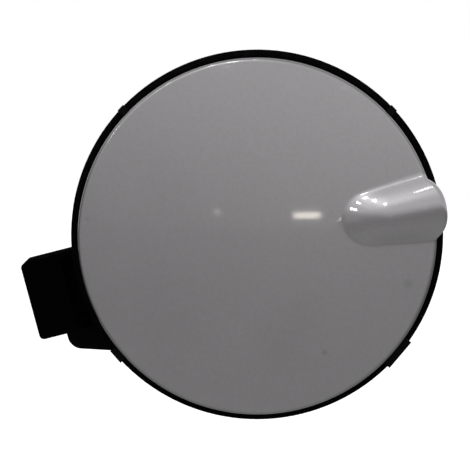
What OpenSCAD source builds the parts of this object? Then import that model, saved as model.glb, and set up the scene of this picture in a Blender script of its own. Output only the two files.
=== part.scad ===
// Round car fuel door with its gooseneck hinge, seen from outside the car.
// X runs right, Z up and Y into the car. The origin is the middle of the two bracket screws,
// on the bracket's mounting face. The hinge axis leans in the plane of the door.

/* [Skin] */
// Radius of the painted skin
skin_r = 80; // [76:0.5:90]
// Height of the skin's crown at its middle
crown_h = 4; // [2.5:0.5:6]
// Wall of the painted skin
skin_wall = 2.2; // [1.8:0.1:2.6]
// Radius rolled round the skin's edge
skin_roll = 2; // [1:0.25:2.5]
// Depth of the turned-in edge behind the rim plane
skin_lip = 3.6; // [3:0.2:5]

/* [Finger pull] */
// Angle of the pull's middle line above horizontal
pull_angle = 10.5; // [-10:0.5:20]
// Length of the pull from its rounded tip to the skin's edge
pull_length = 42; // [34:0.5:46]
// Length over which the pull rises from its tip
pull_nose = 22; // [12:0.5:26]
// Length of the blunt rounding of the pull's outline at its tip
pull_blunt = 11; // [6:0.5:13]
// Softness of the pull's foot on the skin
pull_foot = 0.2; // [0.05:0.01:0.3]
// Half width of the pull at its tip
pull_tip_w = 10.8; // [9:0.2:12]
// Half width of the pull at the skin's edge
pull_edge_w = 15.6; // [13:0.2:18]
// Height of the pull at its tip
pull_tip_h = 6.5; // [4:0.5:8]
// Height of the pull at the skin's edge
pull_edge_h = 9; // [7:0.5:11]
// How far the pull's lip stands out past the skin's edge
pull_overhang = 4.7; // [3:0.1:6]
// Share of the pull's height at which its lip begins to stand out
pull_shoulder = 0.14; // [0:0.02:0.3]
// Angle by which the lip's middle lies below the pull's
lip_drop = 0.8; // [0:0.2:2]
// Depth of the turned-in edge along the pull's lip
pull_lip = 3.6; // [3.2:0.2:5]

/* [Carrier] */
// Thickness of the carrier plate
plate_t = 2.4; // [1.8:0.1:3]
// Gap between the skin's edge and the carrier plate
skin_seat_gap = 0.3; // [0.2:0.05:0.4]
// Thickness of the carrier's ribs
rib_t = 1.6; // [1.2:0.1:2.2]
// Height of the ribs behind the plate
rib_h = 4; // [3:0.5:5]
// Height of the rim wall behind the plate
rim_wall_h = 5.5; // [4:0.5:7]
// Radius of the rim wall's outer face, short of the plate's edge
rim_wall_inset = 2.8; // [2:0.2:4]
// Radius of the inner rib ring
hub_r = 21; // [18:1:26]
// Radius of the middle rib ring
mid_ring_r = 49; // [44:1:54]
// Number of radial ribs
rib_count = 16; // [8:1:24]
// Radius of the finger cup's hollow
cup_r = 12; // [10:0.5:13]
// Distance of the finger cup's middle from the skin's edge, along the pull
cup_in = 17.5; // [16:0.5:20]
// Depth of the finger cup's floor behind the plate's front
cup_deep = 5.8; // [4:0.2:8]
// Width of the short locating tabs that stand out through the seal
tab_w = 3.5; // [2:0.5:8]
// Width of the long locating tab at the lower right
long_tab_w = 15; // [8:1:18]
// How far each locating tab stands out past the seal
tab_out = 0.4; // [0.2:0.1:1.5]

/* [Rim seal] */
// How far the seal's lip stands out past the skin
seal_out = 3.5; // [2.5:0.25:4]
// Thickness of the seal's lip
seal_lip_t = 1.1; // [0.8:0.1:1.4]
// Depth of the lip's tip behind the seal's front
seal_flare = 3.6; // [2.5:0.1:4.5]

/* [Hinge] */
// Lean of the hinge axis from vertical
hinge_tilt = 14.4; // [0:0.1:25]
// Distance from the hinge pin to the skin's edge
hinge_gap = 16; // [14:0.5:20]
// Height of the skin's centre above the bracket's middle, along the hinge axis
centre_rise = 3.4; // [0:0.1:8]
// Depth of the hinge pin behind the skin's rim plane
pivot_sink = 14; // [13:0.5:18]
// Radius of the hinge pin
pin_r = 2; // [1.5:0.1:2.5]
// Radius of the arm's knuckles
knuckle_r = 6.5; // [6:0.1:6.6]
// Running clearance of the bushes on the pin, on the radius
run_gap = 0.05; // [0.02:0.01:0.09]

/* [Gooseneck arm] */
// Thickness of the arm
arm_t = 4.5; // [3.5:0.25:5]
// Width of the arm between the bracket's ears
arm_w = 26.2; // [22:0.2:30]
// Depth of the bend's centre behind the pin
bend_deep = 9; // [8:0.25:11]
// Gap between the arm's neck and the seal behind the carrier's edge
neck_gap = 2.25; // [1.5:0.25:4]
// Width of the window for the spring
window_w = 12.6; // [11.6:0.2:14]
// Thickness of the arm's root plate on the carrier
root_t = 3.5; // [3:0.25:4.5]
// Length of the root plate beyond the neck
root_length = 37.25; // [33.25:1:41.25]
// Depth of the pockets that leave ribs on the outside of the bend
pocket_deep = 1.4; // [0.8:0.1:2]

/* [Bracket] */
// Thickness of the bracket's ears
ear_t = 3.6; // [3:0.1:5]
// Distance from the pin to the block's outer end
block_end = 10.1; // [9.6:0.1:14]
// Radius of the block's corners
block_corner = 2.2; // [1:0.2:4]
// Height of the block's front face in front of the pin
hood_rise = 9; // [9:0.1:9.6]
// Reach of the front hood past the pin
hood_reach = 7.5; // [4:0.5:8]
// Wall of the hood
hood_t = 1.8; // [1.4:0.1:1.9]
// Wall of the block's outer end
end_t = 2.2; // [1.6:0.1:2.6]
// Thickness of the bracket's mounting flange
flange_t = 3.5; // [2.5:0.25:5]
// Gap between the arm's bend and the mounting flange
bend_gap = 1.25; // [0.8:0.05:3]
// Distance from the pin to the line of the mounting screws
screw_reach = 27; // [26:0.5:34]
// Spacing of the two mounting screws along the hinge axis
screw_spacing = 56; // [52:1:64]
// Radius of the flange round the lower screw
lower_lug_r = 11; // [9:0.5:12]
// Radius of the flange round the upper screw
upper_lug_r = 9; // [8.5:0.5:10]
// Length of the steel sleeves in the screw holes
sleeve_l = 6.5; // [5:0.5:8]
// Bore radius of the steel sleeves
sleeve_bore_r = 3.1; // [2.6:0.1:3.3]
// Wall of the steel sleeves
sleeve_wall = 1.5; // [1:0.1:2]

/* [Spring] */
// Radius of the spring wire
wire_r = 0.65; // [0.5:0.05:0.75]
// Middle radius of the spring's coils
coil_r = 4.6; // [4:0.1:5]
// Number of turns of the spring
coil_turns = 7; // [5:1:7]

/* [Striker] */
// Distance of the striker's tab from the skin's right edge
striker_in = 23; // [20:1:30]
// Place of the striker's tab above the skin's centre
striker_z = -24; // [-30:1:-20]
// Thickness of the striker's metal
striker_t = 2; // [1.5:0.25:3]
// Width of the striker's tab
striker_w = 15; // [13:1:18]
// Depth of the lock eye behind the carrier plate
eye_deep = 14; // [12:0.5:18]
// Radius of the lock eye
eye_r = 4.2; // [3:0.1:5]

/* [Buffers] */
// Distance of each rubber buffer from the skin's edge
buffer_in = 13; // [11:0.5:16]
// Radius of each rubber buffer
buffer_r = 5; // [4:0.25:6]
// Height of each rubber buffer behind the plate
buffer_h = 7; // [6:0.5:9]
// Radius of the buffers' necks in the plate
buffer_neck_r = 2.4; // [2:0.1:3]

/* [Screws] */
// Shank radius of the screws
screw_r = 1.5; // [1.2:0.1:1.8]
// Head radius of the screws
screw_head_r = 3.8; // [3:0.1:4]
// Head height of the screws
screw_head_h = 2.4; // [1.8:0.1:3]

/* [Hidden] */
$fn = 64;

paint = [0.50, 0.49, 0.51];
black = [0.05, 0.05, 0.055];
steel = [0.62, 0.63, 0.65];

// Places tied to the skin's edge
hinge_reach = skin_r + hinge_gap;
pull_tip = skin_r - pull_length;
cup_at = skin_r - cup_in;
striker_x = skin_r - striker_in;

// Radii on the carrier and the seal
plate_r = skin_r + 0.2;
seal_gap = 0.1;
seal_r = skin_r + seal_out;
seal_grip = 2.2;
wall_r = plate_r - rim_wall_inset;
wall_t = 2;

// The gooseneck's two legs: one beside the pin, one behind the seal's grip
neck_left = 0.25;
neck_right = neck_left + arm_t;
far_left = hinge_reach - plate_r + seal_grip + neck_gap;
far_right = far_left + arm_t;
bend_r = (far_left - neck_left) / 2;
bend_side = neck_left + arm_t / 2 + bend_r;
bend_out = bend_r + arm_t / 2;
bend_in = bend_r - arm_t / 2;
root_end = far_right + root_length;

// Depths behind the skin's rim plane
plate_front = skin_lip + skin_seat_gap;
plate_back = plate_front + plate_t;
// Depth of the mounting face behind the pin, and behind the rim plane
bend_bottom = bend_deep + bend_r + arm_t / 2;
flange_front = bend_bottom + bend_gap;
mount_deep = flange_front + flange_t;
rim_deep = pivot_sink + mount_deep;

// Stack along the hinge axis
side_gap = 0.3;
flange_bush_t = 0.8;
ear_in = arm_w / 2 + flange_bush_t + side_gap;
ear_out = ear_in + ear_t;
block_w = 2 * ear_out;
head_sink = 1.8;
pin_head_r = 3.6;
clip_r = 3.8;
bush_r = 3.2;

// The middle of the skin in the hinge frame, measured from the bracket screws
centre_along = hinge_reach - screw_reach;

// Smooth curves of the skin. Depths are positive into the car.
function crown(r) = -crown_h * (1 - pow(r / skin_r, 2));

function pull_u(x, z) = x * cos(pull_angle) + z * sin(pull_angle);
function pull_v(x, z) = z * cos(pull_angle) - x * sin(pull_angle);
function along_pull(u) = (u - pull_tip) / (skin_r - pull_tip);
function nose(u, length) = max(0, (pull_tip + length - u) / length);
function pull_w(u) =
    (pull_tip_w + (pull_edge_w - pull_tip_w) * along_pull(u)) * sqrt(1 - pow(nose(u, pull_blunt), 2));
function pull_h(u) = pull_tip_h + (pull_edge_h - pull_tip_h) * along_pull(u);
// The pull's cross-section: a round back that runs out softly on the skin at its foot
function hump(u, v) = u <= pull_tip || abs(v) >= pull_w(u) ? 0 :
    let (t = (1 - pow(v / pull_w(u), 2)) * (1 - pow(nose(u, pull_nose), 2)))
    t * t * (1 + pull_foot) / (t + pull_foot);
function pull(x, z) =
    let (u = pull_u(x, z), v = pull_v(x, z))
    pull_h(u) * hump(u, v);
function skin_depth(x, z) = crown(norm([x, z])) - pull(x, z);

// The skin's section at one angle, from the middle out, round the edge and back inside
pull_first = -10;
pull_last = 30;
ring_shares = [0.18, 0.34, 0.45, 0.495, 0.53, 0.565, 0.6, 0.64, 0.68, 0.72, 0.76, 0.8, 0.84,
    0.88, 0.92, 0.96, 1];
roll_steps = [30, 60, 90];
skin_angles = concat(
    [for (a = [pull_first : 2 : pull_last]) a],
    [for (a = [pull_last + 6.4 : 6.4 : 360 + pull_first - 3]) a]);

function edge_bump(a) =
    let (u = pull_u(skin_r * cos(a), skin_r * sin(a)), v = pull_v(skin_r * cos(a), skin_r * sin(a)))
    hump(u, v);
function lip_swing(a) = max(0, (edge_bump(a + lip_drop) - pull_shoulder) / (1 - pull_shoulder));
function edge_r(a) = skin_r + pull_overhang * lip_swing(a) * (1.6 - 0.6 * lip_swing(a));
function on_skin(r, a, deeper) = [r, skin_depth(r * cos(a), r * sin(a)) + deeper];
function lip_end(a) =
    let (bump = edge_bump(a), shelf = on_skin(edge_r(a) - skin_roll, a, 0)[1])
    skin_lip * (1 - bump) + (shelf + pull_lip) * bump;
function skin_section(a) =
    let (re = edge_r(a), flat_r = re - skin_roll, shelf = on_skin(flat_r, a, 0)[1], in_r = re - skin_wall)
    concat(
        [for (share = ring_shares) on_skin(flat_r * share, a, 0)],
        [for (turn = roll_steps) [flat_r + skin_roll * sin(turn), shelf + skin_roll * (1 - cos(turn))]],
        [[re, lip_end(a)], [in_r, lip_end(a)]],
        [for (i = [len(ring_shares) - 1 : -1 : 0]) on_skin(in_r * ring_shares[i], a, skin_wall)]);

// Frames: the skin's centre, the hinge pin, and a place on the carrier by angle and radius
module door_frame()
    rotate([0, -hinge_tilt, 0]) translate([centre_along, -rim_deep, centre_rise])
        rotate([0, hinge_tilt, 0]) children();

module pin_frame()
    rotate([0, -hinge_tilt, 0]) translate([-screw_reach, -mount_deep, 0]) children();

module at_angle(a, r)
    rotate([0, -a, 0]) translate([r, 0, 0]) children();

// Stands a revolved shape's axis along the depth
module facing() rotate([-90, 0, 0]) children();

// A flat shape drawn in X and Z, from one depth to another
module slab(from, to)
    translate([0, to, 0]) rotate([90, 0, 0]) linear_extrude(to - from) children();

module disc(r, from, to, at = [0, 0])
    slab(from, to) translate(at) circle(r);

module rounded_plate(x0, x1, z0, z1, r) {
    translate([x0 + r, z0]) square([x1 - x0 - 2 * r, z1 - z0]);
    translate([x0, z0 + r]) square([x1 - x0, z1 - z0 - 2 * r]);
    for (x = [x0 + r, x1 - r], z = [z0 + r, z1 - r])
        translate([x, z]) circle(r);
}

// Two circles joined by their outer tangents
module linked(c1, r1, c2, r2) {
    lean = atan2(c2[1] - c1[1], c2[0] - c1[0]);
    side = acos((r1 - r2) / norm(c2 - c1));
    translate(c1) circle(r1);
    translate(c2) circle(r2);
    polygon([
        c1 + r1 * [cos(lean + side), sin(lean + side)],
        c1 + r1 * [cos(lean - side), sin(lean - side)],
        c2 + r2 * [cos(lean - side), sin(lean - side)],
        c2 + r2 * [cos(lean + side), sin(lean + side)]]);
}

// Painted outer shell: crowned disc with a rolled edge and the finger pull drawn up out of it
module skin() {
    sections = [for (a = skin_angles) skin_section(a)];
    rows = len(sections[0]);
    turns = len(skin_angles);
    rim = [for (j = [0 : turns - 1], p = sections[j])
        [p[0] * cos(skin_angles[j]), p[1], p[0] * sin(skin_angles[j])]];
    outer_pole = turns * rows;
    inner_pole = outer_pole + 1;
    points = concat(rim, [[0, crown(0), 0], [0, crown(0) + skin_wall, 0]]);
    walls = [for (j = [0 : turns - 1], i = [0 : rows - 2])
        let (k = (j + 1) % turns, a = j * rows + i, b = k * rows + i)
        each [[a, b, b + 1], [a, b + 1, a + 1]]];
    caps = [for (j = [0 : turns - 1])
        let (k = (j + 1) % turns)
        each [[outer_pole, k * rows, j * rows],
            [inner_pole, j * rows + rows - 1, k * rows + rows - 1]]];
    color(paint) door_frame() polyhedron(points, concat(walls, caps));
}

// Black moulded inner panel: plate, rim wall, ribs, finger cup, screw bosses and locating tabs
gusset_t = 3;
screw_side = arm_w / 2 - gusset_t - screw_head_r - 0.3;
screw_row = far_right + 11.25;
arm_screws = [[screw_row, screw_side], [screw_row, -screw_side], [root_end - 7, 0]];
tabs = [[43.5, tab_w], [136.5, tab_w], [220.5, 2 * tab_w], [320.4, long_tab_w]];
boss_r = 4.2;
boss_front = 1.2;
pad_edge = 2;
buffer_at = skin_r - buffer_in;
buffer_places = [[57, buffer_at], [-58, buffer_at], [118, buffer_at]];
striker_foot = [16, 27];
striker_hole_in = 4.5;
cup_wall = 2;
// How far a rib or boss runs into the plate that carries it
root_in = 0.5;

module at_striker() translate([striker_x, 0, striker_z]) children();
module striker_holes()
    for (z = [-1, 1] * (striker_foot[1] / 2 - striker_hole_in))
        translate([-striker_foot[0] / 2, 0, z]) children();

// The carrier's door-frame place of a point given from the hinge pin
module from_pin(along, side)
    rotate([0, -hinge_tilt, 0]) translate([along - hinge_reach, 0, side - centre_rise]) children();

module at_cup() at_angle(pull_angle, cup_at) children();

// Flat plan of the ribs, seen from outside: spokes and two rings, with clear floors between them
module rib_plan() {
    pad_w = arm_w / 2 + pad_edge;
    difference() {
        union() {
            for (i = [0 : rib_count - 1])
                rotate(hinge_tilt + (i + 0.5) * 360 / rib_count)
                    translate([hub_r, -rib_t / 2]) square([wall_r - hub_r - 1, rib_t]);
            for (r = [hub_r, mid_ring_r])
                difference() {
                    circle(r + rib_t / 2);
                    circle(r - rib_t / 2);
                }
        }
        // Under the arm's root, the striker, the buffers and the finger cup
        rotate(hinge_tilt) translate([-hinge_reach, -centre_rise - pad_w])
            square([root_end + pad_edge, 2 * pad_w]);
        translate([striker_x - striker_foot[0] - pad_edge, striker_z - striker_foot[1] / 2 - pad_edge])
            square([striker_foot[0] + 2 * pad_edge, striker_foot[1] + 2 * pad_edge]);
        for (p = buffer_places)
            rotate(p[0]) translate([p[1], 0]) circle(buffer_r + pad_edge);
        rotate(pull_angle) translate([cup_at, 0]) circle(cup_r + 0.5);
    }
}

module carrier() {
    pad_w = arm_w / 2 + pad_edge;
    channel_from = far_right - 0.75;
    wall_gap_end = hinge_reach - wall_r + 2 * wall_t;
    color(black) door_frame() {
        difference() {
            union() {
                disc(plate_r, plate_front, plate_back);
                // Locating rib inside the skin's edge, with a gap in front of the finger cup
                slab(crown(wall_r) + skin_wall + skin_seat_gap, plate_front + root_in) difference() {
                    circle(skin_r - skin_wall - skin_seat_gap);
                    circle(skin_r - skin_wall - skin_seat_gap - rib_t);
                    rotate(pull_angle) translate([cup_at, -pull_edge_w])
                        square([2 * cup_in, 2 * pull_edge_w]);
                }
                slab(plate_back - root_in, plate_back + rim_wall_h) difference() {
                    circle(wall_r);
                    circle(wall_r - wall_t);
                }
                slab(plate_back - root_in, plate_back + rib_h) rib_plan();
                // Channel that holds the arm's root from both sides and at its end
                from_pin(0, 0) slab(plate_back - root_in, plate_back + root_t) difference() {
                    translate([channel_from, -pad_w]) square([root_end + pad_edge - channel_from, 2 * pad_w]);
                    translate([channel_from - 4, rib_t - pad_w])
                        square([root_end + pad_edge - rib_t - channel_from + 4, 2 * (pad_w - rib_t)]);
                }
                // Bosses in front of the plate for the screws
                for (p = arm_screws)
                    from_pin(p[0], p[1]) disc(boss_r, boss_front, plate_front + root_in);
                at_striker() striker_holes() disc(boss_r, boss_front, plate_front + root_in);
                at_cup() disc(cup_r + cup_wall, plate_back - root_in, plate_front + cup_deep + cup_wall);
                for (tab = tabs)
                    at_angle(tab[0], 0) slab(plate_front + 0.6, plate_back)
                        translate([plate_r - 3, -tab[1] / 2]) square([seal_r + tab_out - plate_r + 3, tab[1]]);
                // Peg that the filler cap's strap hangs on
                at_angle(250, (hub_r + mid_ring_r) / 2) {
                    disc(3, plate_back - root_in, plate_back + 9.5);
                    disc(5.5, plate_back + 9, plate_back + 11);
                }
            }
            // Hollow of the finger cup
            at_cup() disc(cup_r, plate_front - 3, plate_front + cup_deep);
            // The arm's neck enters through a gap in the rim wall
            from_pin(0, 0) slab(plate_back, plate_back + rim_wall_h + 1)
                translate([0, -pad_w + rib_t]) square([wall_gap_end, 2 * (pad_w - rib_t)]);
            for (p = arm_screws)
                from_pin(p[0], p[1]) disc(screw_r + 0.1, boss_front + 0.8, plate_back + 1);
            at_striker() striker_holes() disc(screw_r + 0.1, boss_front + 0.8, plate_back + 1);
            for (p = buffer_places)
                at_angle(p[0], p[1]) disc(buffer_neck_r + 0.1, plate_front - 1, plate_back + 1);
        }
    }
}

// Rubber seal pressed over the carrier's edge, with one flared lip
module rim_seal() {
    front = plate_front + 0.05;
    back = plate_back + seal_gap;
    color(black) door_frame() difference() {
        facing() rotate_extrude($fn = 128) polygon([
            [plate_r + seal_gap, front],
            [plate_r + 1.1, front],
            [seal_r, front + seal_flare - seal_lip_t * 0.3],
            [seal_r - 0.3, front + seal_flare],
            [plate_r + 1.4, front + seal_lip_t * 1.6],
            [plate_r + 1.4, back + 1.2],
            [plate_r - seal_grip, back + 1.2],
            [plate_r - seal_grip, back],
            [plate_r + seal_gap, back]]);
        for (tab = tabs)
            at_angle(tab[0], 0) slab(plate_front - 1, plate_back + seal_gap)
                translate([plate_r - 1, -tab[1] / 2 - seal_gap]) square([3 * seal_out, tab[1] + 2 * seal_gap]);
    }
}

// Gooseneck hinge arm: two knuckles, a neck that bends round the body's edge, and a root plate
root_back = plate_back + root_t - pivot_sink;
root_front = plate_back - pivot_sink;

module neck_section() {
    translate([neck_left, 0]) square([arm_t, bend_deep]);
    translate([bend_side, bend_deep]) intersection() {
        difference() {
            circle(bend_out);
            circle(bend_in);
        }
        translate([-bend_out - 1, 0]) square([2 * bend_out + 2, bend_out + 1]);
    }
    translate([far_left, root_front]) square([arm_t, bend_deep - root_front]);
    // Fillet where the neck meets the root plate
    difference() {
        translate([far_right - 0.5, root_back - 0.5]) square(4.5);
        translate([far_right + 4, root_back + 4]) circle(4);
    }
}

module hinge_arm() {
    half = arm_w / 2;
    window = window_w / 2;
    root_w = 11;
    color(black) pin_frame() difference() {
        union() {
            linear_extrude(arm_w, center = true) neck_section();
            for (side = [-1, 1])
                translate([0, 0, side * (half + window) / 2])
                    cylinder(r = knuckle_r, h = half - window, center = true);
            // Root plate, narrowing to a round end
            slab(root_front, root_back) {
                linked([root_end - root_w, 0], root_w, [far_left + half, 0], half);
                translate([far_left, -half]) square([half, arm_w]);
            }
            // Gussets between the neck and the root plate
            for (side = [-1, 1])
                translate([0, 0, side * (half - gusset_t / 2)]) linear_extrude(gusset_t, center = true)
                    polygon([[far_left + 1, root_front + 1], [far_right + 14, root_back],
                        [far_right, root_back + 9], [far_left + 1, root_back + 9]]);
        }
        // Window for the spring between the knuckles
        translate([-knuckle_r - 1, -knuckle_r - 1, -window])
            cube([neck_right + knuckle_r + 2, bend_deep + knuckle_r + 1, window_w]);
        cylinder(r = bush_r, h = arm_w + 2, center = true);
        // Pockets that leave three ribs round the outside of the bend
        for (side = [-1, 1])
            translate([bend_side, bend_deep, side * half / 2]) linear_extrude(half - 4, center = true)
                intersection() {
                    difference() {
                        circle(bend_out + 1);
                        circle(bend_out - pocket_deep);
                    }
                    translate([-bend_out - 1, 1]) square([2 * bend_out + 2, bend_out + 1]);
                }
        for (p = arm_screws)
            disc(screw_r + 0.3, root_front - 1, root_back + 1, p);
    }
}

// Thread-forming screw with a domed cross head; its head seats on depth zero
module pan_screw(length) {
    color(steel) difference() {
        union() {
            facing() rotate_extrude() polygon([[0, 0], [screw_head_r, 0], [screw_head_r, screw_head_h * 0.45],
                [screw_head_r * 0.72, screw_head_h * 0.9], [screw_head_r * 0.4, screw_head_h], [0, screw_head_h]]);
            facing() translate([0, 0, -length]) cylinder(r = screw_r, h = length + 0.5);
        }
        for (turn = [0, 90])
            rotate([0, turn, 0]) translate([0, screw_head_h, 0])
                cube([screw_head_r * 1.1, 2.2, 0.9], center = true);
    }
}

module arm_screw(p)
    pin_frame() translate([p[0], root_back, p[1]]) pan_screw(root_t + plate_t + plate_front - boss_front - 1.2);

// Flanged plastic bush in each knuckle
module bush(side)
    color([0.85, 0.84, 0.78]) pin_frame() mirror([0, 0, side < 0 ? 1 : 0]) difference() {
        union() {
            translate([0, 0, window_w / 2]) cylinder(r = bush_r, h = (arm_w - window_w) / 2);
            translate([0, 0, arm_w / 2]) cylinder(r = bush_r + 2, h = flange_bush_t);
        }
        cylinder(r = pin_r + run_gap, h = arm_w);
    }

// Steel striker: a foot screwed to the carrier and a tab with the lock eye
module striker() {
    foot_left = -striker_foot[0];
    bend = 1.5;
    eye_edge = 3.8;
    tab_end = eye_deep + eye_r + eye_edge;
    color(steel) door_frame() at_striker() translate([0, plate_back, 0]) difference() {
        intersection() {
            linear_extrude(striker_foot[1] + 2, center = true) {
                translate([foot_left, 0]) square([striker_foot[0] - bend - striker_t, striker_t]);
                translate([-striker_t, bend + striker_t]) square([striker_t, tab_end - bend - striker_t]);
                translate([-bend - striker_t, bend + striker_t]) intersection() {
                    difference() {
                        circle(bend + striker_t);
                        circle(bend);
                    }
                    translate([0, -bend - striker_t]) square(bend + striker_t);
                }
            }
            union() {
                slab(-1, bend + striker_t)
                    rounded_plate(foot_left, 1, -striker_foot[1] / 2, striker_foot[1] / 2, 3);
                rotate([0, 90, 0]) translate([0, 0, foot_left]) linear_extrude(striker_foot[0] + 1) {
                    translate([-striker_w / 2, 0]) square([striker_w, tab_end - striker_w / 2]);
                    translate([0, tab_end - striker_w / 2]) circle(striker_w / 2);
                }
            }
        }
        translate([1, eye_deep, 0]) rotate([0, -90, 0]) cylinder(r = eye_r, h = striker_t + 2);
        striker_holes() disc(screw_r + 0.3, -1, striker_t + 1);
    }
}

module striker_screw(side)
    door_frame() at_striker()
        translate([-striker_foot[0] / 2, plate_back + striker_t, side * (striker_foot[1] / 2 - striker_hole_in)])
            pan_screw(striker_t + plate_t + plate_front - boss_front - 1.2);

// Rubber buffer pushed through the plate, with a soft domed head and a snap bulb
module buffer(p)
    color(black) door_frame() at_angle(p[0], p[1]) facing() rotate_extrude() {
        polygon([[0, plate_back], [buffer_r, plate_back], [buffer_r, plate_back + buffer_h - 2],
            [buffer_r - 2, plate_back + buffer_h], [0, plate_back + buffer_h]]);
        polygon([[0, plate_front - 1.8], [buffer_neck_r * 0.6, plate_front - 1.8],
            [buffer_neck_r + 0.8, plate_front - 0.6], [buffer_neck_r + 0.8, plate_front],
            [buffer_neck_r, plate_front], [buffer_neck_r, plate_back], [0, plate_back]]);
    }

// Fixed hinge bracket: a moulded block open towards the door, on a flange with two screw lugs
ear_arc_r = hinge_gap - 2.8;
shoulder_deep = 13;
shoulder_in = 1.5;
flange_end = screw_reach + 9;
wing = [4.5, -24.2];
wing_r = 6.8;
lugs = [screw_spacing / 2, -screw_spacing / 2];

module side_profile() {
    intersection() {
        circle(ear_arc_r);
        translate([0, -hood_rise]) square([ear_arc_r + 1, hood_rise + ear_arc_r]);
    }
    translate([-block_end, -hood_rise]) square([block_end + 0.5, flange_front + hood_rise + 1]);
    polygon([[0, -2.6], [ear_arc_r - 0.3, -2.6], [ear_arc_r + 2.3, 0.5], [ear_arc_r + 6.8, bend_deep],
        [screw_reach + 2, flange_front + 1], [0, flange_front + 1]]);
}

module flange_outline() {
    rounded_plate(-block_end, flange_end, shoulder_in - ear_out, ear_out - shoulder_in, 3);
    // The lower lug, with webs to the wing and to the plate
    translate([screw_reach, lugs[1]]) circle(lower_lug_r);
    linked(wing, wing_r, [screw_reach, lugs[1]], lower_lug_r - 1);
    translate([screw_reach - lower_lug_r + 0.5, lugs[1]]) square([2 * lower_lug_r - 1, -lugs[1]]);
    linked([screw_reach, lugs[0]], upper_lug_r, [screw_reach - 6, 0], upper_lug_r + 4);
    translate([wing[0] - wing_r, wing[1]]) square([20, -wing[1]]);
}

module hinge_bracket() {
    boss_front_deep = mount_deep - sleeve_l;
    block_long = block_end + screw_reach;
    shoulder_reach = 2 * block_end;
    color(black) pin_frame() difference() {
        union() {
            difference() {
                intersection() {
                    linear_extrude(block_w, center = true) side_profile();
                    slab(-hood_rise - 1, flange_front + 2)
                        rounded_plate(-block_end, block_long, -ear_out, ear_out, block_corner);
                }
                // Hollow between the ears, open towards the door
                translate([end_t - block_end, hood_t - hood_rise, -ear_in])
                    cube([2 * block_long, flange_front + 2 * hood_rise, 2 * ear_in]);
                translate([hood_reach, -hood_rise - 1, -ear_in]) cube([block_long, hood_rise + 1, 2 * ear_in]);
                // The ears step in towards the flange
                for (z = [ear_out - shoulder_in, -ear_out - ear_t])
                    translate([-shoulder_reach, shoulder_deep, z])
                        cube([shoulder_reach + block_long, mount_deep, ear_t + shoulder_in]);
            }
            slab(flange_front, mount_deep) flange_outline();
            for (z = lugs)
                disc(sleeve_bore_r + sleeve_wall + 2.9, boss_front_deep, mount_deep, [screw_reach, z]);
            // Gussets from the ears to the lugs
            for (side = [-1, 1])
                translate([screw_reach - 10, 0, 0]) rotate([0, -90, 0]) linear_extrude(3, center = true)
                    polygon([[side * (ear_in + 0.5), 6], [side * ear_out, 8],
                        [side * (screw_spacing / 2 - 1), flange_front + 0.5],
                        [side * (ear_in + 0.5), flange_front + 0.5]]);
            // Stops for the arm when the door is fully open
            for (side = [-1, 1])
                translate([hood_reach - 3, -hood_rise + hood_t - 0.5, side > 0 ? window_w / 2 + 1 : -ear_in])
                    cube([3, 2, ear_in - window_w / 2 - 1]);
            // Post that holds the fixed leg of the spring
            translate([wire_r - coil_r, bend_deep + 6, -window_w / 2 - 1])
                cube([2.4, flange_front - bend_deep - 5.5, 5]);
        }
        cylinder(r = pin_r + run_gap, h = block_w + 2, center = true);
        for (side = [-1, 1])
            translate([0, 0, side * (ear_out - head_sink / 2 + 0.5)])
                cylinder(r = pin_head_r + 0.6, h = head_sink + 1, center = true);
        for (z = lugs)
            disc(sleeve_bore_r + sleeve_wall, boss_front_deep - 1, mount_deep + 1, [screw_reach, z]);
    }
}

// Steel sleeve that takes the screw's clamp load in each lug
module sleeve(z)
    color(steel) pin_frame() slab(mount_deep - sleeve_l, mount_deep)
        translate([screw_reach, z]) difference() {
            circle(sleeve_bore_r + sleeve_wall);
            circle(sleeve_bore_r);
        }

// Steel hinge pin with a flat head sunk in the upper ear, kept by a push-on clip in the lower ear
module hinge_pin()
    color(steel) pin_frame() {
        translate([0, 0, -ear_out + 0.3]) cylinder(r = pin_r, h = block_w - 0.6);
        translate([0, 0, ear_out - head_sink]) cylinder(r = pin_head_r, h = 1.4);
    }

module pin_clip()
    color(steel) pin_frame() translate([0, 0, -ear_out + head_sink - 0.8]) difference() {
        cylinder(r = clip_r, h = 0.8);
        translate([0, 0, -1]) cylinder(r = pin_r + 0.02, h = 3);
        for (turn = [0 : 60 : 300])
            rotate([0, 0, turn]) translate([pin_r - 0.3, -0.3, -1]) cube([1.2, 0.6, 3]);
    }

// Torsion spring on the pin, with one leg on the bracket's post and one on the arm
wire_sides = 6;
coil_steps = 18;
coil_pitch = (window_w - 2 * wire_r - 1.4) / coil_turns;
function coil_point(step) =
    let (turn = 180 + 360 * step / coil_steps)
    [coil_r * cos(turn), coil_r * sin(turn), coil_pitch * (step / coil_steps - (coil_turns + 0.5) / 2)];
wire_path = concat(
    [[-coil_r, flange_front - 3, -coil_pitch * (coil_turns + 0.5) / 2]],
    [for (step = [0 : coil_steps * (coil_turns + 0.5)]) coil_point(step)],
    [[neck_right + wire_r + 0.15, bend_deep, coil_pitch * (coil_turns + 0.5) / 2],
        [neck_right + wire_r + 0.75, bend_deep + 3, coil_pitch * (coil_turns + 0.5) / 2]]);

function unit(v) = v / norm(v);
function wire_ring(i) =
    let (last = len(wire_path) - 1,
        run = unit(wire_path[min(i + 1, last)] - wire_path[max(i - 1, 0)]),
        out = unit(cross(run, [0, 0, 1])),
        up = cross(out, run))
    [for (k = [0 : wire_sides - 1])
        wire_path[i] + wire_r * (cos(360 * k / wire_sides) * out + sin(360 * k / wire_sides) * up)];

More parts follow.
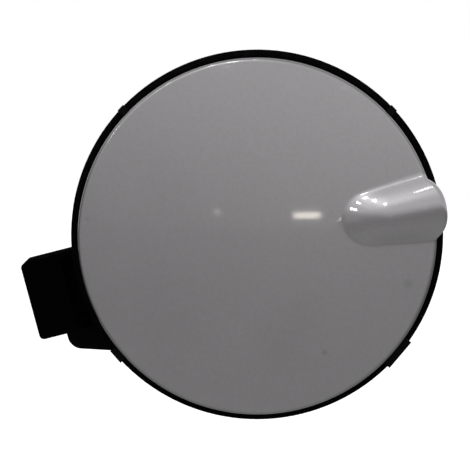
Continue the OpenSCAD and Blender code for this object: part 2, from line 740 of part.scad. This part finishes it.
module hinge_spring() {
    rings = len(wire_path);
    points = [for (i = [0 : rings - 1]) each wire_ring(i)];
    sides = [for (i = [0 : rings - 2], k = [0 : wire_sides - 1])
        let (a = i * wire_sides + k, b = i * wire_sides + (k + 1) % wire_sides)
        each [[a, b, b + wire_sides], [a, b + wire_sides, a + wire_sides]]];
    first = [[for (k = [wire_sides - 1 : -1 : 0]) k]];
    last = [[for (k = [0 : wire_sides - 1]) (rings - 1) * wire_sides + k]];
    color(steel) pin_frame() polyhedron(points, concat(sides, first, last));
}

skin();
carrier();
rim_seal();
hinge_arm();
arm_screw(arm_screws[0]);  // arm_screw_upper
arm_screw(arm_screws[1]);  // arm_screw_lower
arm_screw(arm_screws[2]);  // arm_screw_inner
bush(1);  // upper_bush
bush(-1);  // lower_bush
striker();
striker_screw(1);  // striker_screw_upper
striker_screw(-1);  // striker_screw_lower
buffer(buffer_places[0]);  // buffer_upper
buffer(buffer_places[1]);  // buffer_lower
buffer(buffer_places[2]);  // buffer_outer
hinge_bracket();
sleeve(lugs[0]);  // bracket_sleeve_upper
sleeve(lugs[1]);  // bracket_sleeve_lower
hinge_pin();
pin_clip();
hinge_spring();
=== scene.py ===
import math

import bmesh
import bpy
from mathutils import Matrix, Quaternion, Vector


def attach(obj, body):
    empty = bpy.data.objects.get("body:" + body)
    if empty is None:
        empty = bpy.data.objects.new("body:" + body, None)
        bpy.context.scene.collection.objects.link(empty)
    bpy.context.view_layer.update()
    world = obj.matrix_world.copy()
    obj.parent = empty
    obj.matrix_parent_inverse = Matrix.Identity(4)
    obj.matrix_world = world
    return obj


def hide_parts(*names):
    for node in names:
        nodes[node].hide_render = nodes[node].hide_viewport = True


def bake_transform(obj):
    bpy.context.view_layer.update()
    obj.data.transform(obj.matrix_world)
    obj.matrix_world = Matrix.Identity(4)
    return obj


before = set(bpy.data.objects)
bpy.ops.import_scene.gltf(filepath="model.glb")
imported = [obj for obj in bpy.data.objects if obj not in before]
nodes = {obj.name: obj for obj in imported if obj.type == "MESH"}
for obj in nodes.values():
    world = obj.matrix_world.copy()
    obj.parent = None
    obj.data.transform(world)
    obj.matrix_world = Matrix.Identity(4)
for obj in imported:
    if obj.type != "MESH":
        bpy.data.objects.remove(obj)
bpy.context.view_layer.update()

# The painted skin: a crowned disc of body-coloured plastic, rolled over at its edge, with the
# finger pull drawn up out of it on the right. It is moulded in one piece, then painted silver
# grey and lacquered, and its turned-in edge sits over a locating rib of the black carrier.
MM = 0.001
SKIN_CENTRE = Vector((65.986, -40.0, 20.453)) * MM
# In millimetres, as in the CAD source
SKIN_R, CROWN_H, SKIN_WALL, SKIN_ROLL, SKIN_LIP = 80.0, 4.0, 2.2, 2.0, 3.6
PULL_ANGLE = math.radians(10.5)
PULL_TIP, PULL_NOSE, PULL_BLUNT, PULL_FOOT, PULL_LIP = 38.0, 22.0, 11.0, 0.2, 3.6
PULL_OVERHANG, PULL_SHOULDER, LIP_DROP = 4.7, 0.14, math.radians(0.8)
PULL_TIP_W, PULL_EDGE_W, PULL_TIP_H, PULL_EDGE_H = 10.8, 15.6, 6.5, 9.0
SKIN_TURNS = 480


def pull_hump(x, z):
    """How far up the pull's rounded section a point of the disc lies, 0 to 1, and its height there."""
    u = x * math.cos(PULL_ANGLE) + z * math.sin(PULL_ANGLE)
    v = z * math.cos(PULL_ANGLE) - x * math.sin(PULL_ANGLE)
    along = (u - PULL_TIP) / (SKIN_R - PULL_TIP)
    height = PULL_TIP_H + (PULL_EDGE_H - PULL_TIP_H) * along
    nose, blunt = (max(0.0, (PULL_TIP + length - u) / length) for length in (PULL_NOSE, PULL_BLUNT))
    width = (PULL_TIP_W + (PULL_EDGE_W - PULL_TIP_W) * along) * math.sqrt(max(0.0, 1 - blunt ** 2))
    if u <= PULL_TIP or abs(v) >= width:
        return 0.0, height
    t = (1 - (v / width) ** 2) * (1 - nose ** 2)
    return t * t * (1 + PULL_FOOT) / (t + PULL_FOOT), height


def skin_depth(x, z):
    """Depth of the skin's outer face behind its rim plane; it is negative on the crown."""
    hump, height = pull_hump(x, z)
    return -CROWN_H * (1 - (x * x + z * z) / SKIN_R ** 2) - height * hump


def new_piece(name, bm):
    """Turns a finished bmesh into a smooth-shaded object of the scene."""
    bmesh.ops.recalc_face_normals(bm, faces=bm.faces)
    mesh = bpy.data.meshes.new(name)
    bm.to_mesh(mesh)
    bm.free()
    mesh.shade_smooth()
    piece = bpy.data.objects.new(name, mesh)
    bpy.context.scene.collection.objects.link(piece)
    return piece


# The skin's half section before the pull is drawn: outer face, rolled edge, lip and inner face.
# Each point keeps its zone and its share of the way out, so that the pull can be drawn up later.
OUTER, ROLL, LIP, INNER = 0, 1, 2, 3
skin_bm = bmesh.new()
zone = skin_bm.verts.layers.int.new("zone")
share = skin_bm.verts.layers.float.new("share")
flat_r, inner_r = SKIN_R - SKIN_ROLL, SKIN_R - SKIN_WALL
# Coarse rings in the middle, and fine ones from just inside the pull's tip to the edge
COARSE_RINGS, COARSE_STEP, FINE_RINGS, FINE_FROM = 8, 0.06, 72, 0.46
outer_shares = [COARSE_STEP * i for i in range(COARSE_RINGS)]
outer_shares += [FINE_FROM + (1 - FINE_FROM) * i / FINE_RINGS for i in range(FINE_RINGS + 1)]
section = [(OUTER, s, s * flat_r) for s in outer_shares]
section += [(ROLL, turn, flat_r + SKIN_ROLL * math.sin(math.radians(turn))) for turn in range(9, 91, 9)]
section += [(LIP, 0.0, SKIN_R), (LIP, 1.0, inner_r)]
section += [(INNER, s, s * inner_r) for s in reversed(outer_shares[::3])]
# The zones only need depths that differ here, so that the merge after the spin joins no two of them.
EDGE_APART, INNER_APART = 10.0, 50.0
ring_verts = []
for kind, s, r in section:
    vert = skin_bm.verts.new((r, 0.0, 0.0))
    vert[zone], vert[share] = kind, s
    if kind == INNER:
        vert.co.y = INNER_APART
    elif kind != OUTER:
        vert.co.y = EDGE_APART + len(ring_verts)
    ring_verts.append(vert)
ring_edges = [skin_bm.edges.new(pair) for pair in zip(ring_verts, ring_verts[1:])]
bmesh.ops.spin(skin_bm, geom=ring_verts + ring_edges, cent=(0, 0, 0), axis=(0, 1, 0), dvec=(0, 0, 0),
               angle=2 * math.pi, steps=SKIN_TURNS, use_merge=True)
bmesh.ops.remove_doubles(skin_bm, verts=skin_bm.verts, dist=0.001)

# Drawing the pull: every point goes to its depth on the crown and the hump, and the edge under
# the hump swings out past the rim, quickly at the pull's sides and less towards its middle.
for vert in skin_bm.verts:
    a = math.atan2(vert.co.z, vert.co.x)
    ca, sa = math.cos(a), math.sin(a)
    rise = pull_hump(SKIN_R * ca, SKIN_R * sa)[0]
    lip_rise = pull_hump(SKIN_R * math.cos(a + LIP_DROP), SKIN_R * math.sin(a + LIP_DROP))[0]
    swing = max(0.0, (lip_rise - PULL_SHOULDER) / (1 - PULL_SHOULDER))
    edge_r = SKIN_R + PULL_OVERHANG * swing * (1.6 - 0.6 * swing)
    shelf_r = edge_r - SKIN_ROLL
    shelf = skin_depth(shelf_r * ca, shelf_r * sa)
    lip_end = SKIN_LIP * (1 - rise) + (shelf + PULL_LIP) * rise
    if vert[zone] == OUTER:
        r = shelf_r * vert[share]
        depth = skin_depth(r * ca, r * sa)
    elif vert[zone] == ROLL:
        turn = math.radians(vert[share])
        r = shelf_r + SKIN_ROLL * math.sin(turn)
        depth = shelf + SKIN_ROLL * (1 - math.cos(turn))
    elif vert[zone] == LIP:
        r, depth = (edge_r, lip_end) if vert[share] < 0.5 else (edge_r - SKIN_WALL, lip_end)
    else:
        r = (edge_r - SKIN_WALL) * vert[share]
        depth = skin_depth(r * ca, r * sa) + SKIN_WALL
    vert.co = SKIN_CENTRE + Vector((r * ca, depth, r * sa)) * MM
skin = new_piece("painted_skin", skin_bm)


def new_material(name, base, roughness, metallic=0.0, specular=0.5):
    """A material with one shader; returns it with its node tree and the shader."""
    material = bpy.data.materials.new(name)
    material.use_nodes = True
    tree = material.node_tree
    shader = tree.nodes["Principled BSDF"]
    shader.inputs["Base Color"].default_value = (*base, 1)
    shader.inputs["Roughness"].default_value = roughness
    shader.inputs["Metallic"].default_value = metallic
    shader.inputs["Specular IOR Level"].default_value = specular
    return material, tree, shader


def object_noise(tree, scale, detail=3.0, rough=0.55, stretch=(1, 1, 1)):
    """Noise over the piece's own coordinates, stretched where the finish has a direction."""
    place = tree.nodes.new("ShaderNodeTexCoord")
    turned = tree.nodes.new("ShaderNodeMapping")
    turned.inputs["Scale"].default_value = stretch
    noise = tree.nodes.new("ShaderNodeTexNoise")
    noise.inputs["Scale"].default_value = scale
    noise.inputs["Detail"].default_value = detail
    noise.inputs["Roughness"].default_value = rough
    tree.links.new(place.outputs["Object"], turned.inputs["Vector"])
    tree.links.new(turned.outputs["Vector"], noise.inputs["Vector"])
    return noise.outputs["Fac"]


def spread(tree, value, low, high, frm=0.3, to=0.7):
    """Maps a value's span, frm to to, onto low to high, and holds it at both ends."""
    node = tree.nodes.new("ShaderNodeMapRange")
    for name, level in (("From Min", frm), ("From Max", to), ("To Min", low), ("To Max", high)):
        node.inputs[name].default_value = level
    tree.links.new(value, node.inputs["Value"])
    return node.outputs["Result"]


def tint(tree, value, dark, light):
    """A colour between two, by a value."""
    node = tree.nodes.new("ShaderNodeMix")
    node.data_type = "RGBA"
    node.inputs["A"].default_value = (*dark, 1)
    node.inputs["B"].default_value = (*light, 1)
    tree.links.new(value, node.inputs["Factor"])
    return node.outputs["Result"]


def laid_over(tree, under, colour, amount):
    """Lays an even colour over another, as far as a value says."""
    node = tree.nodes.new("ShaderNodeMix")
    node.data_type = "RGBA"
    node.inputs["B"].default_value = (*colour, 1)
    tree.links.new(under, node.inputs["A"])
    tree.links.new(amount, node.inputs["Factor"])
    return node.outputs["Result"]


def coordinate(tree, axis, system="Object"):
    """The X, Y or Z of a place, in the piece's own coordinates or in another system."""
    place = tree.nodes.new("ShaderNodeTexCoord")
    axes = tree.nodes.new("ShaderNodeSeparateXYZ")
    tree.links.new(place.outputs[system], axes.inputs[0])
    return axes.outputs[axis]


def bump(tree, value, strength, distance):
    """A small relief from a value."""
    node = tree.nodes.new("ShaderNodeBump")
    node.inputs["Strength"].default_value = strength
    node.inputs["Distance"].default_value = distance
    tree.links.new(value, node.inputs["Height"])
    return node.outputs["Normal"]


# Lacquered silver-grey paint: fine flake under a clear coat with a little orange peel, two
# small marks from use, and a soft darker spot below the end of the pull.
paint, tree, shader = new_material("silver_grey_paint", (0.26, 0.252, 0.26), 0.4, metallic=0.58)
flake = object_noise(tree, 9000, detail=1.0)
cloud = object_noise(tree, 38, detail=2.0)
flaked = tint(tree, spread(tree, flake, 0, 1, 0.35, 0.65), (0.25, 0.242, 0.25), (0.282, 0.273, 0.281))
mottle = spread(tree, object_noise(tree, 640, detail=3.0), 0.0, 1.0)


def dark_spot(tree, colour, right, up, radius, dark):
    """A small soft mark on the skin at a place given from its centre, in millimetres."""
    place = tree.nodes.new("ShaderNodeTexCoord")
    flat = tree.nodes.new("ShaderNodeVectorMath")
    flat.operation = "MULTIPLY"
    flat.inputs[1].default_value = (1, 0, 1)
    away = tree.nodes.new("ShaderNodeVectorMath")
    away.operation = "DISTANCE"
    away.inputs[1].default_value = (SKIN_CENTRE.x + right * MM, 0, SKIN_CENTRE.z + up * MM)
    tree.links.new(place.outputs["Object"], flat.inputs[0])
    tree.links.new(flat.outputs["Vector"], away.inputs[0])
    mark = spread(tree, away.outputs["Value"], dark, 0.0, 0.2 * radius * MM, radius * MM)
    return laid_over(tree, colour, (0.06, 0.055, 0.055), mark)


shaded = tree.nodes.new("ShaderNodeMix")
shaded.data_type = "RGBA"
shaded.blend_type = "MULTIPLY"
shaded.inputs["Factor"].default_value = 0.06
tree.links.new(flaked, shaded.inputs["A"])
tree.links.new(mottle, shaded.inputs["B"])
marked = shaded.outputs["Result"]
# The first is a soft darker spot below the end of the pull; the other two are small marks from use.
for right, up, radius, dark in ((67.2, -20.3, 3.0, 0.16), (30.2, -51.1, 1.6, 0.26), (-75.4, 8.6, 1.2, 0.15)):
    marked = dark_spot(tree, marked, right, up, radius, dark)
# Painted shade: the rolled edge behind the rim plane is darkened in its colour, so that it shows dark
# instead of mirroring a light line of the sky.
RIM_Y = -0.0400
rim_painted_shade = spread(tree, coordinate(tree, "Y"), 0.0, 0.85, RIM_Y - 0.0002, RIM_Y + 0.0004)
tree.links.new(laid_over(tree, marked, (0.07, 0.068, 0.07), rim_painted_shade), shader.inputs["Base Color"])
tree.links.new(spread(tree, cloud, 0.34, 0.41), shader.inputs["Roughness"])
tree.links.new(bump(tree, flake, 0.04, 0.00002), shader.inputs["Normal"])
shader.inputs["Coat Weight"].default_value = 1.0
shader.inputs["Coat Roughness"].default_value = 0.05
tree.links.new(bump(tree, object_noise(tree, 420, detail=1.0), 0.05, 0.00003), shader.inputs["Coat Normal"])
skin.data.materials.append(paint)
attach(skin, "flap")
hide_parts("skin")


# Black moulded parts: the carrier behind the skin and the gooseneck arm screwed to it. Both are
# injection-moulded in black glass-filled plastic with a fine spark-eroded grain.
def moulded_black(name, base, roughness, grain, grain_deep, specular, inner=1.0, painted_light_depths=(-0.030, -0.012)):
    """Black plastic with a fine grain and flow marks. Its colour is multiplied by inner towards the side
    that faces into the body, between the two depths of painted_light_depths: painted light that leaves the
    front darker than the back."""
    material, tree, shader = new_material(name, base, roughness, specular=specular)
    flow = object_noise(tree, 45, detail=4.0, stretch=(1, 1, 0.35))
    dust = object_noise(tree, 900, detail=4.0, rough=0.7)
    pale = tuple(c * 2.0 + 0.0012 for c in base)
    specks = tint(tree, spread(tree, dust, 0, 1, 0.62, 0.8), base, pale)
    # Painted light: the side that faces into the body is lightened in its colour, and the front is kept
    # darker.
    painted_light_share = spread(tree, coordinate(tree, "Y"), 0.0, 1.0, *painted_light_depths)
    specks_and_painted_light = laid_over(tree, specks, [c * inner for c in base], painted_light_share)
    tree.links.new(specks_and_painted_light, shader.inputs["Base Color"])
    tree.links.new(spread(tree, flow, roughness - 0.07, roughness + 0.08), shader.inputs["Roughness"])
    relief = bump(tree, object_noise(tree, grain, detail=2.0), 0.35, grain_deep)
    tree.links.new(relief, shader.inputs["Normal"])
    return material


def dress(node, material):
    """Gives a solid of the frame its finish."""
    piece = nodes[node]
    piece.data.materials.clear()
    piece.data.materials.append(material)


# The carrier's back is painted lighter than its front, by inner, as painted light.
carrier_black = moulded_black("carrier_black", (0.0013, 0.0013, 0.0014), 0.5, grain=2600, grain_deep=0.00006,
                              specular=0.05, inner=4.5, painted_light_depths=(-0.0360, -0.0300))
arm_black = moulded_black("arm_black", (0.004, 0.004, 0.0043), 0.46, grain=3400, grain_deep=0.00005,
                          specular=0.18)
dress("carrier", carrier_black)
dress("hinge_arm", arm_black)

# The fixed hinge bracket: one block of black glass-filled plastic that stays on the car's body.
# The block's back is painted lighter than its front, by inner, as painted light.
block_black = moulded_black("block_black", (0.0009, 0.0009, 0.001), 0.55, grain=3000, grain_deep=0.00005,
                            specular=0.0, inner=5.0)
dress("hinge_bracket", block_black)

# The rim seal and the three buffers are soft black rubber with a matt, faintly bloomed skin.
rubber, tree, shader = new_material("black_rubber", (0.0012, 0.0012, 0.0013), 0.68, specular=0.0)
bloom = object_noise(tree, 260, detail=5.0, rough=0.65)
bloomed = spread(tree, bloom, 0, 1, 0.45, 0.8)
tree.links.new(tint(tree, bloomed, (0.0016, 0.0016, 0.0018), (0.0035, 0.0035, 0.0038)),
               shader.inputs["Base Color"])
tree.links.new(spread(tree, bloom, 0.62, 0.76), shader.inputs["Roughness"])
tree.links.new(bump(tree, object_noise(tree, 4200, detail=2.0), 0.25, 0.00003), shader.inputs["Normal"])
for node in ("rim_seal", "buffer_upper", "buffer_lower", "buffer_outer"):
    dress(node, rubber)

# The screws, the striker and the bracket's sleeves are steel with a bright zinc plating.
zinc, tree, shader = new_material("zinc_steel", (0.55, 0.56, 0.58), 0.34, metallic=1.0)
haze = object_noise(tree, 180, detail=5.0, rough=0.6)
tree.links.new(tint(tree, spread(tree, haze, 0, 1), (0.47, 0.48, 0.50), (0.62, 0.62, 0.61)),
               shader.inputs["Base Color"])
tree.links.new(spread(tree, haze, 0.28, 0.44), shader.inputs["Roughness"])
tree.links.new(bump(tree, object_noise(tree, 2600, detail=3.0), 0.15, 0.00002), shader.inputs["Normal"])
for node in ("arm_screw_upper", "arm_screw_lower", "arm_screw_inner", "striker", "striker_screw_upper",
             "striker_screw_lower", "bracket_sleeve_upper", "bracket_sleeve_lower"):
    dress(node, zinc)

# The hinge pin is steel too, but phosphated black and oiled, so its head hardly shows in the block.
pin_steel, tree, shader = new_material("phosphated_pin", (0.004, 0.004, 0.004), 0.6, specular=0.0)
phosphate = object_noise(tree, 900, detail=4.0)
tree.links.new(tint(tree, spread(tree, phosphate, 0, 1), (0.0025, 0.0025, 0.0027), (0.007, 0.0068, 0.0065)),
               shader.inputs["Base Color"])
tree.links.new(bump(tree, object_noise(tree, 3000, detail=2.0), 0.12, 0.00002), shader.inputs["Normal"])
dress("hinge_pin", pin_steel)

# The pin's push-on clip and the spring are drawn and oiled spring steel, darker than the plating.
spring_steel, tree, shader = new_material("spring_steel", (0.24, 0.23, 0.22), 0.36, metallic=1.0)
oil = object_noise(tree, 420, detail=4.0)
tree.links.new(tint(tree, spread(tree, oil, 0, 1), (0.19, 0.18, 0.17), (0.30, 0.29, 0.28)),
               shader.inputs["Base Color"])
tree.links.new(bump(tree, object_noise(tree, 3000, detail=2.0), 0.12, 0.00002), shader.inputs["Normal"])
dress("pin_clip", spring_steel)

# The two flanged bushes are natural acetal, a hard waxy white plastic.
acetal, tree, shader = new_material("acetal_bush", (0.72, 0.70, 0.63), 0.42)
waxy = spread(tree, object_noise(tree, 300), 0, 1)
tree.links.new(tint(tree, waxy, (0.66, 0.64, 0.56), (0.76, 0.74, 0.67)), shader.inputs["Base Color"])
tree.links.new(bump(tree, object_noise(tree, 2400), 0.1, 0.00002), shader.inputs["Normal"])
for node in ("upper_bush", "lower_bush"):
    dress(node, acetal)

# The torsion spring: one wire wound round the pin, its lower leg on the bracket's post and its
# upper leg on the arm. It winds up as the door opens.
HINGE_TILT = math.radians(14.4)
PIN_AT = Vector((-26.152, -26.0, -6.715)) * MM
WIRE_R, COIL_R, COIL_TURNS, COIL_PITCH = 0.65, 4.6, 7.5, 1.41429
COIL_END = COIL_PITCH * COIL_TURNS / 2
STEPS_A_TURN, WIRE_SIDES = 36, 12
# Each leg leaves its end of the coil by these steps.
LOWER_LEG = ((0, 4, 0), (0, 15.5, 0))
UPPER_LEG = ((0.35, 4, 0), (0.6, 5, 0), (0.6, 3, 0))


def from_pin(point):
    """A point given from the hinge pin, in millimetres, to its place in the frame."""
    x, y, z = point
    c, s = math.cos(HINGE_TILT), math.sin(HINGE_TILT)
    return PIN_AT + Vector((x * c - z * s, y, x * s + z * c)) * MM


spring_bm = bmesh.new()
wire_start = Matrix.Translation((-COIL_R, 0, -COIL_END)) @ Matrix.Rotation(math.pi / 2, 4, "X")
bmesh.ops.create_circle(spring_bm, segments=WIRE_SIDES, radius=WIRE_R, matrix=wire_start)
first_ring = list(spring_bm.edges)
coil_steps = int(COIL_TURNS * STEPS_A_TURN)
wound = bmesh.ops.spin(spring_bm, geom=list(spring_bm.verts) + first_ring, cent=(0, 0, 0), axis=(0, 0, 1),
                       dvec=(0, 0, COIL_PITCH / STEPS_A_TURN), angle=2 * math.pi * COIL_TURNS,
                       steps=coil_steps)
last_ring = [part for part in wound["geom_last"] if isinstance(part, bmesh.types.BMEdge)]
for ring, leg in ((first_ring, LOWER_LEG), (last_ring, UPPER_LEG)):
    for step in leg:
        grown = bmesh.ops.extrude_edge_only(spring_bm, edges=ring)["geom"]
        moved = [g for g in grown if isinstance(g, bmesh.types.BMVert)]
        bmesh.ops.translate(spring_bm, verts=moved, vec=step)
        ring = [g for g in grown if isinstance(g, bmesh.types.BMEdge) and g.is_boundary]
bmesh.ops.holes_fill(spring_bm, edges=[edge for edge in spring_bm.edges if edge.is_boundary])
for vert in spring_bm.verts:
    vert.co = from_pin(vert.co)
spring = new_piece("hinge_spring_wire", spring_bm)
spring.data.materials.append(spring_steel)
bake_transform(spring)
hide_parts("hinge_spring")


def math_step(tree, operation, first, second):
    """One step of arithmetic on two values."""
    node = tree.nodes.new("ShaderNodeMath")
    node.operation = operation
    tree.links.new(first, node.inputs[0])
    tree.links.new(second, node.inputs[1])
    return node.outputs[0]


# The floor is a plain sheet a little way below. For the light it is grey, with a painted pool of light that
# makes it paler near the door.
# To the camera it is white and keeps the door's soft shadow.
FLOOR_Z = -0.26
floor_mesh = bpy.data.meshes.new("floor")
floor_bm = bmesh.new()
bmesh.ops.create_grid(floor_bm, x_segments=1, y_segments=1, size=3.0,
                      matrix=Matrix.Translation((0, 0, FLOOR_Z)))
floor_bm.to_mesh(floor_mesh)
floor_bm.free()
floor = bpy.data.objects.new("floor", floor_mesh)
bpy.context.scene.collection.objects.link(floor)
floor_white, tree, shader = new_material("floor_white", (0.3, 0.3, 0.3), 0.9, specular=0.1)
place = tree.nodes.new("ShaderNodeTexCoord")
out_from = tree.nodes.new("ShaderNodeVectorMath")
out_from.operation = "DISTANCE"
out_from.inputs[1].default_value = (0.08, -0.06, FLOOR_Z)
tree.links.new(place.outputs["Object"], out_from.inputs[0])
painted_light_pool = spread(tree, out_from.outputs["Value"], 1.0, 0.0, 0.08, 0.5)
tree.links.new(tint(tree, painted_light_pool, (0.225, 0.225, 0.225), (0.47, 0.47, 0.47)), shader.inputs["Base Color"])
path = tree.nodes.new("ShaderNodeLightPath")
glow = tree.nodes.new("ShaderNodeEmission")
glow.inputs["Color"].default_value = (1, 1, 1, 1)
glow.inputs["Strength"].default_value = 0.35
sheet = tree.nodes.new("ShaderNodeBsdfDiffuse")
sheet.inputs["Color"].default_value = (0.8, 0.8, 0.8, 1)
pale_sheet = tree.nodes.new("ShaderNodeAddShader")
tree.links.new(sheet.outputs[0], pale_sheet.inputs[0])
tree.links.new(glow.outputs[0], pale_sheet.inputs[1])
seen = math_step(tree, "MAXIMUM", path.outputs["Is Camera Ray"], path.outputs["Is Transmission Ray"])
either = tree.nodes.new("ShaderNodeMixShader")
tree.links.new(seen, either.inputs["Fac"])
tree.links.new(shader.outputs[0], either.inputs[1])
tree.links.new(pale_sheet.outputs[0], either.inputs[2])
tree.links.new(either.outputs[0], tree.nodes["Material Output"].inputs["Surface"])
floor.data.materials.append(floor_white)

# The room is white behind the door. On the camera's side it is grey, dark towards the ground,
# brightest at a low to middle height and dimmer again overhead.
world = bpy.data.worlds.new("studio")
bpy.context.scene.world = world
world.use_nodes = True
tree = world.node_tree
background = tree.nodes["Background"]
path = tree.nodes.new("ShaderNodeLightPath")
place = tree.nodes.new("ShaderNodeTexCoord")
lean = tree.nodes.new("ShaderNodeVectorMath")
lean.operation = "DOT_PRODUCT"
lean.inputs[1].default_value = (0.4, 0.0, 0.92)  # up, and a little to the right
tree.links.new(place.outputs["Generated"], lean.inputs[0])
rising = spread(tree, lean.outputs["Value"], 0.28, 1.55, -0.20, 0.38)
dimming = spread(tree, lean.outputs["Value"], 0.0, 0.55, 0.36, 0.62)
behind = spread(tree, coordinate(tree, "Y", "Generated"), 0.0, 1.0, 0.3, 0.6)
mirrored = math_step(tree, "MAXIMUM", path.outputs["Is Glossy Ray"], path.outputs["Is Transmission Ray"])
mirrored_behind = math_step(tree, "MULTIPLY", mirrored, behind)
white = math_step(tree, "MAXIMUM", mirrored_behind, path.outputs["Is Camera Ray"])
strength = tree.nodes.new("ShaderNodeMix")
tree.links.new(white, strength.inputs["Factor"])
tree.links.new(math_step(tree, "SUBTRACT", rising, dimming), strength.inputs["A"])
strength.inputs["B"].default_value = 1.0
tree.links.new(strength.outputs["Result"], background.inputs["Strength"])
background.inputs["Color"].default_value = (1, 1, 1, 1)


# The ceiling lamps stand above and in front of the door, where their images fall as bright points
# on the pull and the rim. The small ones near the camera give the crown its short highlights, a dim
# card fills the left side, and one short tube low behind the camera makes the streak on the crown.
def lamp(name, place, width, height, roll, radiance, shape="ELLIPSE", colour=(1, 1, 1)):
    """An area lamp turned to the door, as bright as given; the camera sees only its light and images.
    The power of a flat lamp is its radiance times pi times its area."""
    light = bpy.data.lights.new(name, "AREA")
    light.shape = shape
    light.size, light.size_y = width, height
    light.energy = radiance * math.pi * width * height * (math.pi / 4 if shape == "ELLIPSE" else 1)
    light.color = colour
    obj = bpy.data.objects.new(name, light)
    obj.location = place
    facing = (SKIN_CENTRE - Vector(place)).to_track_quat("-Z", "Y")
    obj.rotation_euler = (facing @ Quaternion((0, 0, 1), math.radians(roll))).to_euler()
    obj.visible_camera = False
    bpy.context.scene.collection.objects.link(obj)


for name, place, width, height, roll, radiance in (
        ("ceiling_far_left", (-0.417, -0.572, 0.703), 0.12, 0.028, -107, 34),
        ("ceiling_left", (-0.580, -0.678, 0.385), 0.13, 0.036, 88, 34),
        ("ceiling_back", (-0.192, -0.411, 0.916), 0.15, 0.034, 105, 90),
        ("ceiling_front", (-0.055, -0.635, 0.826), 0.19, 0.075, 104, 34),
        ("ceiling_foot", (0.060, -0.410, 0.974), 0.11, 0.03, 90, 17),
        ("high_middle", (0.000, -1.024, 0.272), 0.025, 0.0062, 173, 14),
        ("high_right", (0.256, -1.019, 0.227), 0.0125, 0.0062, -151, 8),
        ("high_between", (0.190, -1.022, 0.258), 0.0167, 0.0062, -163, 3),
        ("small_right", (0.262, -1.030, -0.05), 0.011, 0.011, 0, 5),
        ("small_left", (-0.014, -1.039, -0.036), 0.015, 0.008, 0, 5)):
    lamp(name, place, width, height, roll, radiance)
lamp("left_card", (-0.62, -0.62, -0.05), 0.34, 0.34, 0, 0.36, "RECTANGLE")
lamp("tube_behind_camera", (0.174, -1.037, -0.043), 0.055, 0.0105, 0, 18, "RECTANGLE", (1.0, 0.95, 0.82))

# The camera stands in front of the door's middle, about 6.5 degrees above it, and looks down on it.
camera = bpy.data.cameras.new("camera")
camera.sensor_width = 36.0
camera.lens = 137.8
camera_object = bpy.data.objects.new("camera", camera)
bpy.context.scene.collection.objects.link(camera_object)
camera_object.location = Vector((63.0, -834.8, 111.4)) * MM
target = Vector((56.19, -40.0, 21.95)) * MM
camera_object.rotation_euler = (target - camera_object.location).to_track_quat("-Z", "Y").to_euler()
bpy.context.scene.camera = camera_object
bpy.context.scene.view_settings.view_transform = "Standard"
